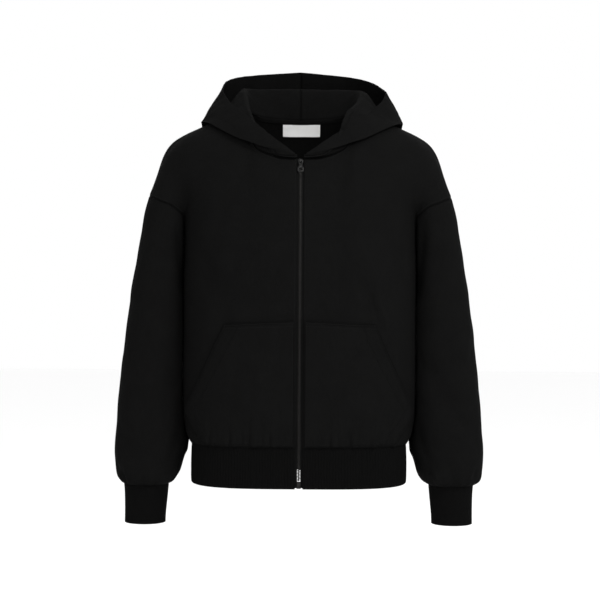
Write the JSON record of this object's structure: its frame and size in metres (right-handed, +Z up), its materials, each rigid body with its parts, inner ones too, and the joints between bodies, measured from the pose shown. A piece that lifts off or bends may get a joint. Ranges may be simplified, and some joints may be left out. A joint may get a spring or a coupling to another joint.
{
  "type": "zip up hoodie",
  "caption": "Zip up hoodie in heavy fleece with a lined hood worn down, drop shoulders, slanted front pockets, and a ribbed hem and cuffs.",
  "frame": {"origin": "in the neck opening, on the middle of the garment, level with the top of the shoulders beside the neck", "axes": "+Z up along the garment, front towards -Y, the wearer's left towards +X"},
  "size_m": [0.6748, 0.359, 0.852],
  "materials": {
    "fleece": "matt brushed knit",
    "rib_knit": "matt ribbed knit",
    "tape": "matt woven tape",
    "label": "matt woven label",
    "zip_teeth": "dark oxidised teeth",
    "zip_metal": "dark gunmetal"
  },
  "bodies": {
    "garment": {"front_left": "fleece", "front_right": "fleece", "back": "fleece", "sleeve_left": "fleece", "sleeve_right": "fleece", "hood_left": "fleece", "hood_right": "fleece", "pocket_left": "fleece", "pocket_right": "fleece", "hem_rib": "rib_knit", "cuff_left": "rib_knit", "cuff_right": "rib_knit", "neck_tape": "tape", "neck_label": "label", "zip_tape_left": "tape", "zip_tape_right": "tape", "zip_chain": "zip_teeth", "zip_box": "zip_metal", "zip_slider": "zip_metal"},
    "pull_tab": {"zip_pull": "zip_metal"}
  },
  "joints": [
    {"name": "pull_swing", "type": "hinge", "parent": "garment", "child": "pull_tab", "pos_m": [0, -0.11523, -0.09957], "axis": [-1, 0, 0], "range_deg": [0, 150]}
  ]
}
